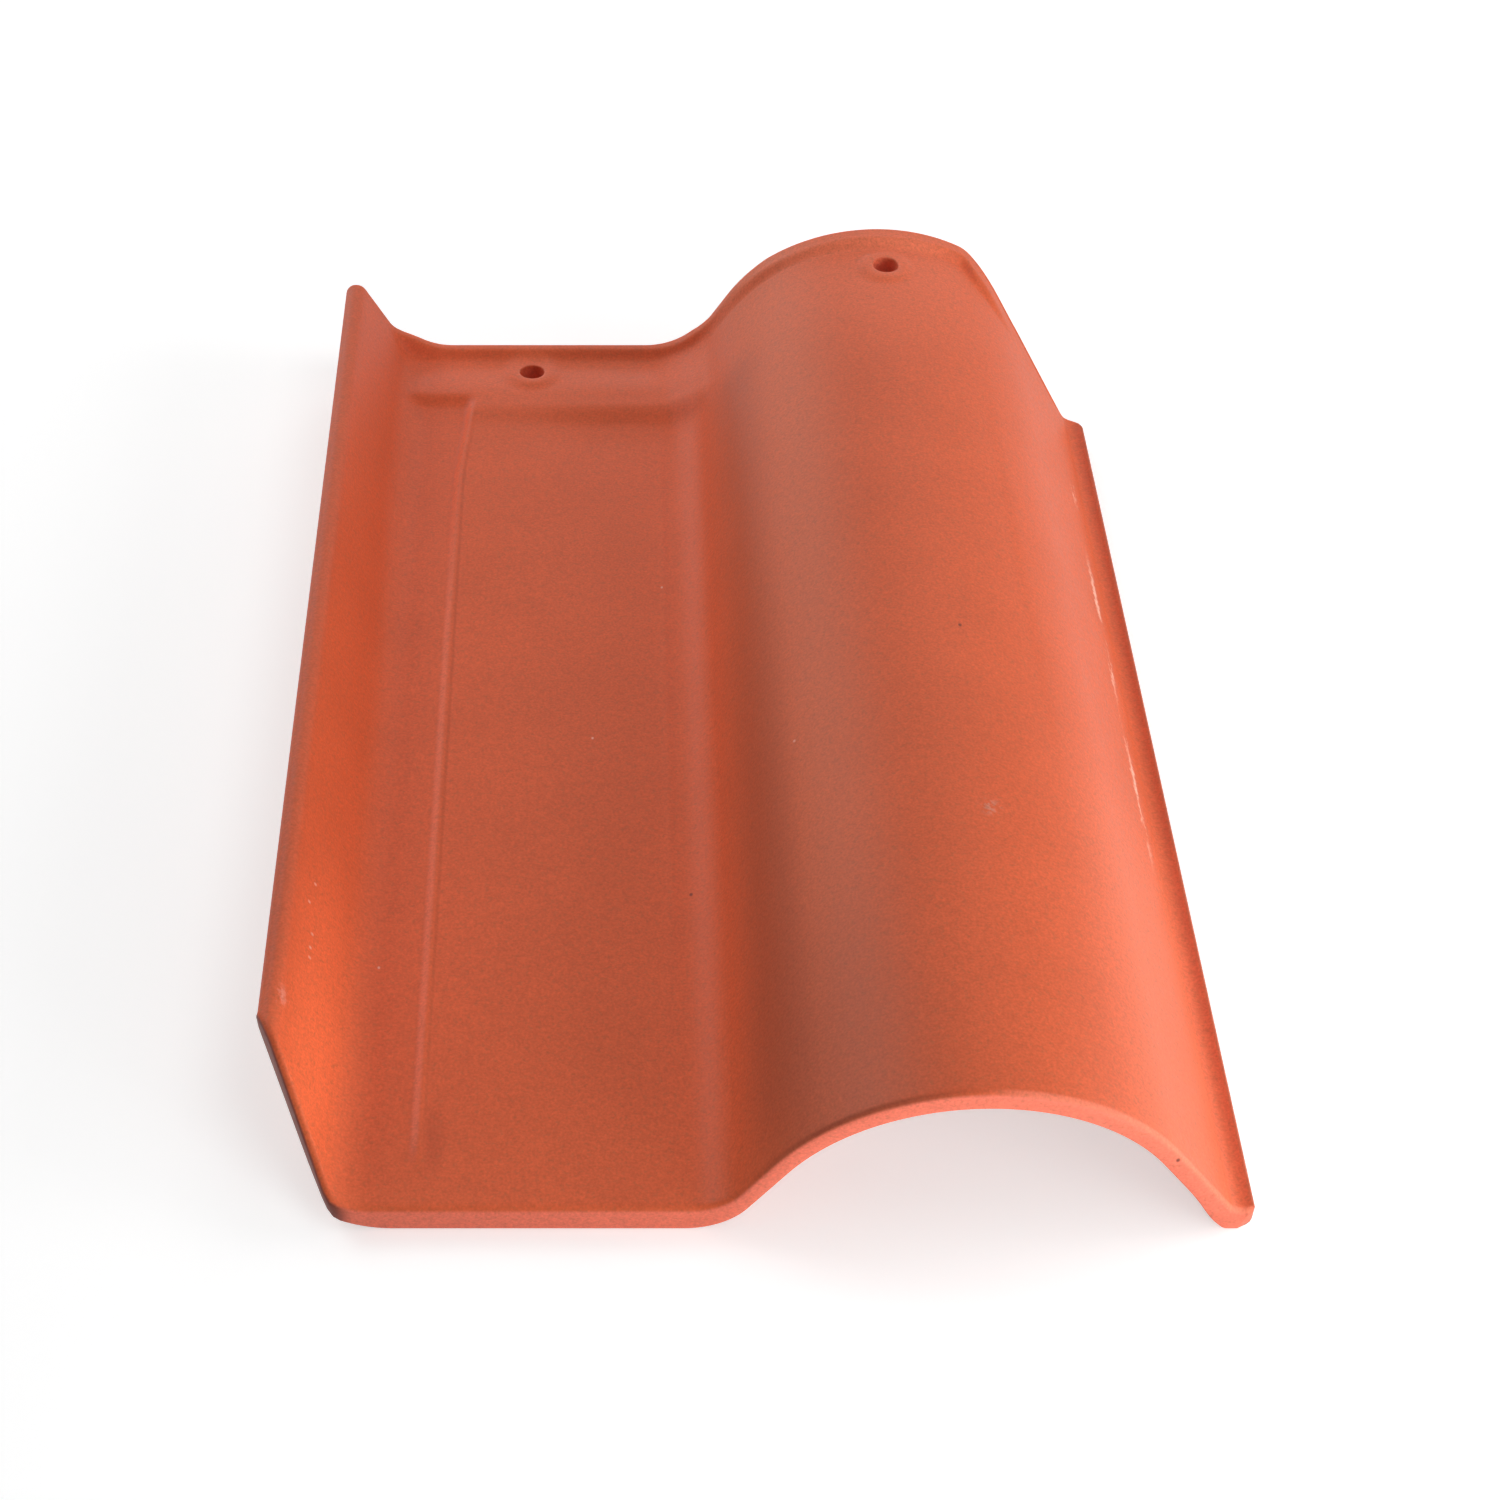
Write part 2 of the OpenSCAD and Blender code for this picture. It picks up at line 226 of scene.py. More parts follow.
def top_section(x, fillet_r=FILLET_R, lip_r=LIP_R):
    """Height of the plain top surface across the tile."""
    lip_x = lip_centre(lip_r, PAN, LIP_W / 2, LIP_A)
    lip_end = CREST_X + LIP_W / 2 * math.sin(LIP_A)
    fillet_x = CROWN_X - flank_run(CROWN_R, fillet_r, PAN + fillet_r - CROWN_Z, FLANK_A)
    flank_x = CROWN_X - CROWN_R * math.sin(FLANK_A)
    outer_x = CROWN_X + CROWN_R * math.sin(OUTER_A)
    outer_z = CROWN_Z + CROWN_R * math.cos(OUTER_A)
    t_out, t_toe = math.tan(OUTER_A), math.tan(TOE_A)
    corner_x = (outer_z + outer_x * t_out - TOE_H + HALF_W * t_toe) / (t_out + t_toe)
    corner_z = TOE_H - (HALF_W - corner_x) * t_toe
    reach = FLARE_R * math.tan((OUTER_A + TOE_A) / 2)
    flare_x0 = corner_x - reach * math.cos(OUTER_A)
    flare_x1 = corner_x + reach * math.cos(TOE_A)
    flare_cx = flare_x0 + FLARE_R * math.sin(OUTER_A)
    flare_cz = corner_z + reach * math.sin(OUTER_A) + FLARE_R * math.cos(OUTER_A)
    return np.select(
        [
            x < lip_end,
            x < lip_x - lip_r * math.sin(LIP_A),
            x < lip_x,
            x < fillet_x,
            x < fillet_x + fillet_r * math.sin(FLANK_A),
            x < flank_x,
            x < outer_x,
            x < flare_x0,
            x < flare_x1,
        ],
        [
            high_arc(x, CREST_X, CREST_Z, LIP_W / 2),
            line(x, lip_end, CREST_Z + LIP_W / 2 * math.cos(LIP_A), -math.tan(LIP_A)),
            low_arc(x, lip_x, PAN + lip_r, lip_r),
            np.full_like(x, PAN),
            low_arc(x, fillet_x, PAN + fillet_r, fillet_r),
            line(x, flank_x, CROWN_Z + CROWN_R * math.cos(FLANK_A), math.tan(FLANK_A)),
            high_arc(x, CROWN_X, CROWN_Z, CROWN_R),
            line(x, outer_x, outer_z, -t_out),
            low_arc(x, flare_cx, flare_cz, FLARE_R),
        ],
        line(x, HALF_W, TOE_H, t_toe),
    )


def under_section(x):
    """Height of the underside across the tile."""
    lip_x = lip_centre(LIP_UNDER_R, 0, -LIP_W / 2, LIP_UNDER_A)
    end_x = CREST_X - LIP_W / 2 * math.sin(LIP_UNDER_A)
    fillet_x = CROWN_X - flank_run(ARCH_R, FILLET_UNDER_R, FILLET_UNDER_R - ARCH_Z, FLANK_A)
    flank_x = CROWN_X - ARCH_R * math.sin(FLANK_A)
    outer_x = CROWN_X + ARCH_R * math.sin(OUTER_A)
    z = np.select(
        [
            x < lip_x - LIP_UNDER_R * math.sin(LIP_UNDER_A),
            x < lip_x,
            x < fillet_x,
            x < fillet_x + FILLET_UNDER_R * math.sin(FLANK_A),
            x < flank_x,
            x < outer_x,
            x < TOE_X - TOE_R * math.sin(OUTER_A),
            x < TOE_X,
        ],
        [
            line(x, end_x, CREST_Z - LIP_W / 2 * math.cos(LIP_UNDER_A), -math.tan(LIP_UNDER_A)),
            low_arc(x, lip_x, LIP_UNDER_R, LIP_UNDER_R),
            np.zeros_like(x),
            low_arc(x, fillet_x, FILLET_UNDER_R, FILLET_UNDER_R),
            line(x, flank_x, ARCH_Z + ARCH_R * math.cos(FLANK_A), math.tan(FLANK_A)),
            high_arc(x, CROWN_X, ARCH_Z, ARCH_R),
            line(x, outer_x, ARCH_Z + ARCH_R * math.cos(OUTER_A), -math.tan(OUTER_A)),
            low_arc(x, TOE_X, TOE_R, TOE_R),
        ],
        np.zeros_like(x),
    )
    foot = FOOT_BULGE * bump_at(x, FOOT_X, FOOT_SPREAD)
    return np.where(x > CROWN_X, np.maximum(z - foot, 0), z)


def slope_angle(x, fillet_r=FILLET_R, lip_r=LIP_R):
    rise = top_section(x + PROBE, fillet_r, lip_r) - top_section(x - PROBE, fillet_r, lip_r)
    return np.arctan(rise / (2 * PROBE))


def rim_line(x):
    """Height of the rim's ridge along the head."""
    angle = slope_angle(x, RIM_FILLET_R, RIM_LIP_R)
    deg = np.degrees(angle)
    rise = np.where(x < RIM_LIP_SIDE, step(*RIM_LIP_DEG, deg) * step(*RIM_LIP_X, x), 1.0)
    steep = np.clip((deg / FLANK_DEG - RIM_STEEP_SHARE) / (1 - RIM_STEEP_SHARE), 0, 1)
    steep = np.where(x < CROWN_X, steep, 0)
    lift = RIM_H * rise - RIM_FLANK_DROP * steep
    return top_section(x, RIM_FILLET_R, RIM_LIP_R) + lift / np.cos(angle)


def pan_relief(x, y):
    """Raised shelf at the head, the strip and panel that step down from it, and the bead between them."""
    from_head = HALF_L - y
    level = SHELF_FOOT + (SHELF_H - SHELF_FOOT) * step(*SHELF_RISE, from_head)
    shelf = level * step(*SHELF_LEFT, x) * (1 - step(*SHELF_RIGHT, x))
    bead_x = BEAD_SLANT * step(*BEAD_SLANT_Y, y) + BEAD_X

    tail = 1 - np.exp(-np.maximum(from_head - STRIP_TAIL_START, 0) / STRIP_TAIL_LENGTH)
    strip_step = STEP_SHARE * step(*STRIP_STEP, from_head) + TAIL_SHARE * tail
    strip_dip = STRIP_DIP * strip_step * step(*STRIP_DIP_LEFT, x) * (1 - step(*STRIP_DIP_END, from_head))
    strip = shelf * (1 - strip_step) - strip_dip

    panel_step = STEP_SHARE * step(*PANEL_STEP, from_head) + TAIL_SHARE * step(*PANEL_TAIL, from_head)
    panel_left = PANEL_LEFT_H * (1 - step(*PANEL_LEFT_X, x)) * step(*PANEL_LEFT_Y, y)
    panel_dip = PANEL_DIP * panel_step * step(*PANEL_DIP_LEFT, x) * (1 - step(*PANEL_DIP_RIGHT, x))
    panel_dip = panel_dip * (1 - step(*PANEL_DIP_END, from_head))
    panel = shelf * (1 - panel_step) + np.minimum(panel_left, shelf) * panel_step - panel_dip

    strip_side = 1 - step(bead_x + STRIP_EDGE[0], bead_x + STRIP_EDGE[1], x)
    raised = strip * strip_side + panel * (1 - strip_side)
    width = np.where(x < bead_x, BEAD_LEFT_W, BEAD_RIGHT_W)
    bead = 0.5 + 0.5 * np.cos(np.pi * np.clip(np.abs(x - bead_x) / width, 0, 1))
    bead = bead * step(*BEAD_BUTT, y) * (1 - step(*BEAD_HEAD, y))
    seam = bump_at(x, SEAM_X, SEAM_W) * step(*SEAM_BUTT, y) * (1 - step(*SEAM_HEAD, y))
    lip_seam = bump_at(x, LIP_SEAM_X, LIP_SEAM_W) * (1 - step(*LIP_SEAM_HEAD, y))
    return raised + BEAD_H * bead + SEAM_H * seam + LIP_SEAM_H * lip_seam


def waves(x, y):
    """Slow unevenness of the pressed clay."""
    height, length_x, phase_x, length_y, phase_y = CROSS_WAVE
    out = height * np.sin(x / length_x + phase_x) * np.sin(y / length_y + phase_y)
    for height, length_x, length_y, phase in SLANT_WAVES:
        out = out + height * np.sin(x / length_x + y / length_y + phase)
    return out


def butt_line(x):
    """Y of the outline at the butt, with the clipped corner on the lip side."""
    w, l = BUTT_CLIP
    clip = -HALF_L + (w - HALF_W - x) * l / w
    return smooth_max(np.full_like(x, -HALF_L), clip, BUTT_CLIP_SOFT)


def head_line(x):
    """Y of the outline at the head, with the clipped corner on the toe side."""
    w, l = HEAD_CLIP
    clip = HALF_L - (x - HALF_W + w) * l / (w - SHOULDER_W)
    clip = -smooth_max(np.full_like(x, -HALF_L), -clip, HEAD_CLIP_SOFT)
    across = np.clip(x - HALF_W + SHOULDER_R, 0, SHOULDER_R)
    shoulder = HALF_L - l - SHOULDER_R + np.sqrt(SHOULDER_R**2 - across**2)
    return smooth_max(clip, shoulder, SHOULDER_SOFT)


def outline_normal(line_of, x, side):
    slope = (line_of(x + PROBE) - line_of(x - PROBE)) / (2 * PROBE)
    n = np.stack([-side * slope, np.full_like(x, side)], 1)
    return n / np.linalg.norm(n, axis=1)[:, None]


def inset_line(line_of, x, side, inset):
    n = outline_normal(line_of, x, side)
    return line_of(x) - side * inset / np.abs(n[:, 1])


def head_gap(x, y):
    """Distance to the outline at the head, square to it."""
    across = outline_normal(head_line, np.ravel(x), 1)[:, 1].reshape(np.shape(x))
    return (head_line(x) - y) * across


def top_height(x, y):
    """Height of the top with its relief, bosses, unevenness and rim."""
    lift = pan_relief(x, y)
    stretch = np.where(y > PAN_HOLE[1], PAN_BOSS_HEAD_SHARE, 1.0)
    to_pan_hole = np.hypot(x - PAN_HOLE[0], stretch * (y - PAN_HOLE[1]))
    lift = lift + PAN_BOSS_H * (1 - step(*PAN_BOSS, to_pan_hole))
    to_barrel_hole = np.hypot(x - BARREL_HOLE[0], y - BARREL_HOLE[1])
    lift = lift + BARREL_BOSS_H * (1 - step(*BARREL_BOSS, to_barrel_hole))
    fade = step(*WAVE_BUTT, y) * (1 - step(*WAVE_HEAD, y))
    lift = lift + waves(x, y) * fade * (1 - step(*WAVE_RIGHT, x)) * step(*WAVE_LEFT, x)
    gap = head_gap(x, y)
    flare = BARREL_FLARE * (1 - step(*BARREL_FLARE_REACH, gap))
    lift = lift + flare * step(*BARREL_FLARE_LEFT, x) * (1 - step(*BARREL_FLARE_RIGHT, x))

    wide = 1 - step(*RIM_FILLET_REACH, HALF_L - y)
    z = top_section(x) * (1 - wide) + top_section(x, RIM_FILLET_R) * wide + lift / np.cos(slope_angle(x))
    on_barrel = step(*RIM_JOIN_X, x)
    pan_rim = np.exp(-((np.maximum(gap - RIM_BAND, 0) / RIM_FALL) ** 2))
    rim = pan_rim * (1 - on_barrel) + (1 - step(*BARREL_BAND, gap)) * on_barrel
    return z + np.maximum(rim_line(x) - z, 0) * rim * (1 - step(*RIM_TOE_X, x))


def under_height(x, y):
    return under_section(x) + 0 * y


def spaced(points):
    """Values that run through (start, spacing) pairs, the last pair being the end."""
    out = []
    for (a, gap), (b, _) in zip(points[:-1], points[1:]):
        count = max(1, int(round((b - a) / gap)))
        out.extend(a + (b - a) * np.arange(count) / count)
    out.append(points[-1][0])
    return np.array(out)


# Edges that round the ends, and where columns and rows give way to them.
EDGE_TOP = 2.2
EDGE_HEAD = 1.2
EDGE_UNDER = 1.0
EDGE_TOP_SHARE = 0.4
EDGE_UNDER_SHARE = 0.25
EDGE_TOP_TURNS = np.radians([22.5, 45, 67.5, 90])
EDGE_UNDER_TURNS = np.radians([90, 60, 30])
ARRIS_ROWS = 2
SIDE_STEPS = 9
FIT_Y = 60
UNDER_KNEES = [-128, 132]
UNDER_LEFT = CREST_X - LIP_W / 2 * math.sin(LIP_UNDER_A)
UNDER_RIGHT = HALF_W - TOE_SOLE_R
TOE_TIP_X = HALF_W - TOE_EDGE_R * (1 + math.sin(TOE_A))
CREST_TURNS = np.radians([-42, -30, -16, 0, 14, 28, 43])
TOE_EDGE_TURNS = np.radians([90, 50, 10])
TOE_SOLE_TURNS = np.radians([0, -25, -50, -72])

# Columns across and rows along the tile, closer together where the form turns.
columns = np.concatenate([
    CREST_X + LIP_W / 2 * np.sin(CREST_TURNS),
    spaced([
        (CREST_X + LIP_W / 2 * math.sin(LIP_A), 1.2), (-125, 1.5), (-100, 0.62), (-90.6, 1.5),
        (-79, 1.0), (-61, 1.7), (-22, 0.95), (10, 1.1), (36, 1.5), (54, 1.0), (76, 1.6), (95, 1.15),
        (134, 0.55), (TOE_TIP_X, 0.55),
    ]),
])
rows = spaced([
    (-HALF_L + EDGE_TOP, 1.1), (-198, 2.4), (-170, 3.3), (140, 1.6), (160, 0.9), (190, 0.6),
    (HALF_L - EDGE_HEAD, 0.6),
])
vertices, faces, marks = [], [], []


def fit_rows(x, low, high):
    """Rows of a column between its two ends, moved only toward the butt and the head."""
    y = np.tile(rows, (len(x), 1))
    near = -FIT_Y + (y + FIT_Y) * ((low + FIT_Y) / (rows[0] + FIT_Y))[:, None]
    y = np.where(y < -FIT_Y, near, y)
    far = FIT_Y + (y - FIT_Y) * ((high - FIT_Y) / (rows[-1] - FIT_Y))[:, None]
    return np.where(y > FIT_Y, far, y)


def add(points, mark):
    """Adds a grid of points and returns their indices."""
    first = len(vertices)
    flat = np.asarray(points, float).reshape(-1, 3)
    vertices.extend(map(tuple, flat))
    marks.extend([mark] * len(flat))
    return first + np.arange(len(flat)).reshape(np.asarray(points).shape[:-1])


def places(ids):
    return np.array([vertices[i] for i in ids.ravel()]).reshape(*ids.shape, 3)


def quads(grid, skip=()):
    """Faces between neighbours of an index grid, apart from some blocks of cells."""
    for i in range(grid.shape[0] - 1):
        for j in range(grid.shape[1] - 1):
            if any(a <= i < b and c <= j < d for a, b, c, d in skip):
                continue
            faces.append((grid[i, j], grid[i + 1, j], grid[i + 1, j + 1], grid[i, j + 1]))


def surface(x, butt_inset, head_inset, height, mark):
    """Grid of points of the top or the underside."""
    low = inset_line(butt_line, x, -1, butt_inset)
    high = inset_line(head_line, x, 1, head_inset)
    xy = np.stack([np.repeat(x[:, None], len(rows), 1), fit_rows(x, low, high)], 2)
    return add(np.concatenate([xy, height(xy[..., 0], xy[..., 1])[..., None]], 2), mark)


# Top and underside grids.
top = surface(columns, EDGE_TOP, EDGE_HEAD, top_height, "top")
under_x = np.interp(
    columns, [columns[0], *UNDER_KNEES, columns[-1]], [UNDER_LEFT, *UNDER_KNEES, UNDER_RIGHT]
)
under = surface(under_x, EDGE_UNDER, EDGE_UNDER, under_height, "under")
top_pos, under_pos = places(top), places(under)


# Outer side of the lip's round crest, and the outer side of the toe.
side_shares = np.linspace(0, 1, SIDE_STEPS + 1)[1:-1]


def side_wall(path, column):
    """Points of a side, from an (X, Z) path, between the ends of the top and the underside."""
    wall = np.zeros((len(side_shares), len(rows), 3))
    top_y, under_y = top_pos[column, :, 1], under_pos[column, :, 1]
    wall[..., 0] = path[:, 0][:, None]
    wall[..., 1] = top_y + side_shares[:, None] * (under_y - top_y)
    wall[..., 2] = path[:, 1][:, None]
    return wall


crest_end = -(math.pi / 2 + LIP_UNDER_A)
crest_turn = CREST_TURNS[0] + side_shares * (crest_end - CREST_TURNS[0])
crest_r = LIP_W / 2 - CREST_TRIM
lip_path = np.stack([CREST_X + crest_r * np.sin(crest_turn), CREST_Z + crest_r * np.cos(crest_turn)], 1)
left_wall = side_wall(lip_path, 0)

edge_x = HALF_W - TOE_EDGE_R
edge_z = TOE_H - TOE_EDGE_R * (math.tan(TOE_A) + 1 / math.cos(TOE_A))
toe_path = np.array(
    [(edge_x + TOE_EDGE_R * math.cos(t), edge_z + TOE_EDGE_R * math.sin(t)) for t in TOE_EDGE_TURNS]
    + [(HALF_W, 0.5 * (edge_z + TOE_SOLE_R))]
    + [(UNDER_RIGHT + TOE_SOLE_R * math.cos(t), TOE_SOLE_R * (1 + math.sin(t))) for t in TOE_SOLE_TURNS]
)
right_wall = side_wall(toe_path, -1)
corner_pull = TOE_CORNER_PULL * np.clip((toe_path[:, 0] - TOE_TIP_X) / (HALF_W - TOE_TIP_X), 0, 1)
right_wall[..., 1] -= corner_pull[:, None] * step(*TOE_CORNER_Y, right_wall[..., 1])


def end_wall(line_of, side, row, edge):
    """Points of the wall between the top's and the underside's ends, with rounded edges."""
    t, u = top_pos[:, row], under_pos[:, row]
    nt, nu = outline_normal(line_of, t[:, 0], side), outline_normal(line_of, u[:, 0], side)
    drop = np.minimum(edge, EDGE_TOP_SHARE * (t[:, 2] - u[:, 2]))
    lift = np.minimum(EDGE_UNDER, EDGE_UNDER_SHARE * (t[:, 2] - u[:, 2]))
    upper, lower = [], []
    for turn in EDGE_TOP_TURNS:
        p = t.copy()
        p[:, :2] += nt * edge * math.sin(turn)
        p[:, 2] -= drop * (1 - math.cos(turn))
        upper.append(p)
    for turn in EDGE_UNDER_TURNS:
        p = u.copy()
        p[:, :2] += nu * EDGE_UNDER * math.sin(turn)
        p[:, 2] += lift * (1 - math.cos(turn))
        lower.append(p)
    return np.array(upper + [0.5 * (upper[-1] + lower[0])] + lower)


def wall_faces(inner, ends_first, ends_last, line_top, line_under, mark):
    """Faces of a wall whose inner points are new and whose two ends are shared."""
    arris = add(inner[:ARRIS_ROWS, 1:-1], mark + "_arris")
    body = np.concatenate([arris, add(inner[ARRIS_ROWS:, 1:-1], mark)], 0)
    grid = np.concatenate([ends_first[:, None], body, ends_last[:, None]], 1)
    quads(np.concatenate([line_top[None], grid, line_under[None]], 0))


butt_wall = end_wall(butt_line, -1, 0, EDGE_TOP)
head_wall = end_wall(head_line, 1, -1, EDGE_HEAD)
left_ids = add(left_wall, "lip_edge")
right_ids = add(right_wall, "toe_edge")
quads(np.concatenate([top[0][None], left_ids, under[0][None]], 0))
quads(np.concatenate([top[-1][None], right_ids, under[-1][None]], 0))
wall_faces(butt_wall, left_ids[:, 0], right_ids[:, 0], top[:, 0], under[:, 0], "butt")
wall_faces(head_wall, left_ids[:, -1], right_ids[:, -1], top[:, -1], under[:, -1], "head")


# Nail holes: a round patch in each grid, and the bore between them.
def block_of(hole):
    """First and last column and row of the cells that a hole's patch takes up."""
    inside_x = np.where(np.abs(columns - hole[0]) < HOLE_BLOCK)[0]
    inside_y = np.where(np.abs(rows - hole[1]) < HOLE_BLOCK)[0]
    return inside_x[0], inside_x[-1], inside_y[0], inside_y[-1]


def loop_of(grid, block):
    """Indices around a block's border."""
    a, b, c, d = block
    return np.concatenate([grid[a:b, c], grid[b, c:d], grid[b:a:-1, d], grid[a, d:c:-1]])


def ring_faces(outer, inner):
    count = len(outer)
    for i in range(count):
        j = (i + 1) % count
        faces.append((outer[i], outer[j], inner[j], inner[i]))


def hole_rings(grid, hole, block, height, radii, drops, shares, mark, sign):
    """Rings that run from a block's border in to the bore."""
    last = loop_of(grid, block)
    border = places(last)[:, :2] - hole
    angle = np.arctan2(border[:, 1], border[:, 0])
    unit = np.stack([np.cos(angle), np.sin(angle)], 1)
    rings = [(border * (1 - share) + unit * radii[0] * share, 0.0, mark) for share in shares]
    rings += [(unit * r, drop, "mouth") for r, drop in zip(radii, drops)]
    for offset, drop, ring_mark in rings:
        flat = hole + offset
        z = height(flat[:, 0], flat[:, 1]) - sign * drop
        ids = add(np.concatenate([flat, z[:, None]], 1), ring_mark)
        ring_faces(last, ids)
        last = ids
    return last


blocks = []
mouth_edge_r = MOUTH_R - BORE_R
mouth_radii = MOUTH_R - mouth_edge_r * np.sin(MOUTH_TURNS)
mouth_drops = mouth_edge_r * (1 - np.cos(MOUTH_TURNS))
exit_radii = BORE_R + EXIT_EDGE_R - EXIT_EDGE_R * np.sin(EXIT_TURNS)
exit_drops = EXIT_EDGE_R * (1 - np.cos(EXIT_TURNS))
for hole in (np.array(PAN_HOLE), np.array(BARREL_HOLE)):
    block = block_of(hole)
    blocks.append(block)
    upper = hole_rings(top, hole, block, top_height, mouth_radii, mouth_drops, MOUTH_SHARES, "top", 1)
    lower = hole_rings(under, hole, block, under_height, exit_radii, exit_drops, EXIT_SHARES, "under", -1)
    high, low = places(upper), places(lower)
    last = upper
    for share in BORE_SHARES:
        ids = add(high + (low - high) * share, "bore")
        ring_faces(last, ids)
        last = ids
    ring_faces(last, lower)
quads(top, blocks)
quads(under, blocks)


def make_mesh(name):
    """Mesh of the points that faces use, in metres, with an attribute for each mark."""
    used = np.zeros(len(vertices), bool)
    for f in faces:
        used[list(f)] = True
    new_index = np.cumsum(used) - 1
    kept = [
        (max(x, LEFT_LIMIT) * MM, y * MM, z * MM)
        for (x, y, z), keep in zip(vertices, used) if keep
    ]
    mesh = bpy.data.meshes.new(name)
    mesh.from_pydata(kept, [], [tuple(int(new_index[i]) for i in f) for f in faces])
    for mark in sorted(set(marks)):
        values = np.array([m == mark for m, keep in zip(marks, used) if keep], np.float32)
        attribute = mesh.attributes.new("on_" + mark, "FLOAT", "POINT")
        attribute.data.foreach_set("value", values)
    mesh.validate()
    return mesh


mesh = make_mesh("roof_tile_clay")
work = bmesh.new()
work.from_mesh(mesh)
bmesh.ops.recalc_face_normals(work, faces=work.faces)
work.to_mesh(mesh)
work.free()
mesh.polygons.foreach_set("use_smooth", [True] * len(mesh.polygons))
tile = bpy.data.objects.new("roof_tile_clay", mesh)
bpy.context.scene.collection.objects.link(tile)


class Nodes:
    """Short calls for the nodes of one node tree."""

    def __init__(self, tree):
        self.tree = tree

    def node(self, kind, **settings):
        n = self.tree.nodes.new(kind)
        for name, value in settings.items():
            setattr(n, name, value)
        return n

    def put(self, socket, value):
        """Links a socket to a socket, or sets its value."""
        if isinstance(value, bpy.types.NodeSocket):
            self.tree.links.new(value, socket)
        else:
            socket.default_value = value

    def math(self, operation, *values):
        n = self.node("ShaderNodeMath", operation=operation)
        for socket, value in zip(n.inputs, values):
            self.put(socket, value)
        return n.outputs[0]

    def times(self, *values):
        out = values[0]
        for v in values[1:]:
            out = self.math("MULTIPLY", out, v)
        return out

    def span(self, value, low, high, to_low=0.0, to_high=1.0):
        """Smooth ramp between two values."""
        n = self.node("ShaderNodeMapRange", interpolation_type="SMOOTHSTEP")
        names = ("Value", "From Min", "From Max", "To Min", "To Max")
        for name, v in zip(names, (value, low, high, to_low, to_high)):
            self.put(n.inputs[name], v)
        return n.outputs["Result"]

    def seen_directly(self):
        """1 for rays from the camera, from reflections and through clear things."""
        path = self.node("ShaderNodeLightPath")
        seen = self.math("MAXIMUM", path.outputs["Is Camera Ray"], path.outputs["Is Glossy Ray"])
        return self.math("MAXIMUM", seen, path.outputs["Is Transmission Ray"])


class ClayNodes(Nodes):
    """Nodes that know their place on the tile, in millimetres in the tile's own frame."""

    def __init__(self, tree):
        super().__init__(tree)
        scale = self.node("ShaderNodeVectorMath", operation="SCALE")
        self.put(scale.inputs[0], self.node("ShaderNodeTexCoord").outputs["Object"])
        scale.inputs["Scale"].default_value = 1 / MM
        self.place = scale.outputs[0]
        axes = self.node("ShaderNodeSeparateXYZ")
        self.put(axes.inputs[0], self.place)
        self.x, self.y = axes.outputs["X"], axes.outputs["Y"]

    def band(self, value, low, high, soft):
        """1 between two values, with soft ends."""
        return self.times(self.span(value, low - soft, low + soft), self.span(value, high + soft, high - soft))

    def mix(self, share, a, b, blend="MIX"):
        n = self.node("ShaderNodeMix", data_type="RGBA", blend_type=blend)
        for socket, v in zip((n.inputs[0], n.inputs[6], n.inputs[7]), (share, a, b)):
            self.put(socket, v)
        return n.outputs[2]

    def layers(self, colour, rows):
        """Lays (area, share, shade) rows over a colour, one after the other."""
        for area, share, shade in rows:
            colour = self.mix(self.times(area, share), colour, (*shade, 1))
        return colour

    def moved(self, shift, stretch):
        n = self.node("ShaderNodeMapping")
        for name, v in zip(("Vector", "Location", "Scale"), (self.place, shift, stretch)):
            self.put(n.inputs[name], v)
        return n.outputs[0]

    def noise(self, size, detail, roughness, shift, stretch=(1, 1, 1)):
        """Cloudy noise whose features are about this many millimetres across."""
        n = self.node("ShaderNodeTexNoise")
        values = (self.moved((shift, shift * 0.7, shift * 1.3), stretch), 1 / size, detail, roughness)
        for name, v in zip(("Vector", "Scale", "Detail", "Roughness"), values):
            self.put(n.inputs[name], v)
        return n.outputs[0]

    def around(self, noise, amount):
        """A noise's rise and fall about its middle."""
        return self.times(self.math("SUBTRACT", noise, 0.5), amount)

    def spot(self, centre, reach, soft=1.0):
        """1 at a place on the tile, falling to 0 at its reach along X, Y and Z."""
        stretch = tuple(1 / r for r in reach)
        shift = tuple(-c / r for c, r in zip(centre, reach))
        n = self.node("ShaderNodeVectorMath", operation="LENGTH")
        self.put(n.inputs[0], self.moved(shift, stretch))
        return self.span(n.outputs["Value"], 1.0, 1.0 - soft)

    def mark(self, name):
        return self.node("ShaderNodeAttribute", attribute_name="on_" + name).outputs["Fac"]


def new_material(name):
    material = bpy.data.materials.new(name)
    material.use_nodes = True
    material.node_tree.nodes.clear()
    return material


clay = new_material("fired_clay")
k = ClayNodes(clay.node_tree)
shader = k.node("ShaderNodeBsdfPrincipled")
k.put(k.node("ShaderNodeOutputMaterial").inputs["Surface"], shader.outputs["BSDF"])

# Pressed face: slow clouds, then painted light, painted shade and a painted sheen laid over the colour in
# places.
CLAY_DARK = (0.690, 0.120, 0.0430, 1)
CLAY_LIGHT = (0.736, 0.128, 0.0460, 1)
blotch = k.noise(42, 3.0, 0.55, 31)
mottle = k.noise(2.3, 2.5, 0.65, 13)
grain = k.noise(0.8, 1.5, 0.5, 57)
olive = k.noise(1.5, 2.0, 0.6, 91)
colour = k.mix(k.span(blotch, 0.30, 0.70), CLAY_DARK, CLAY_LIGHT)

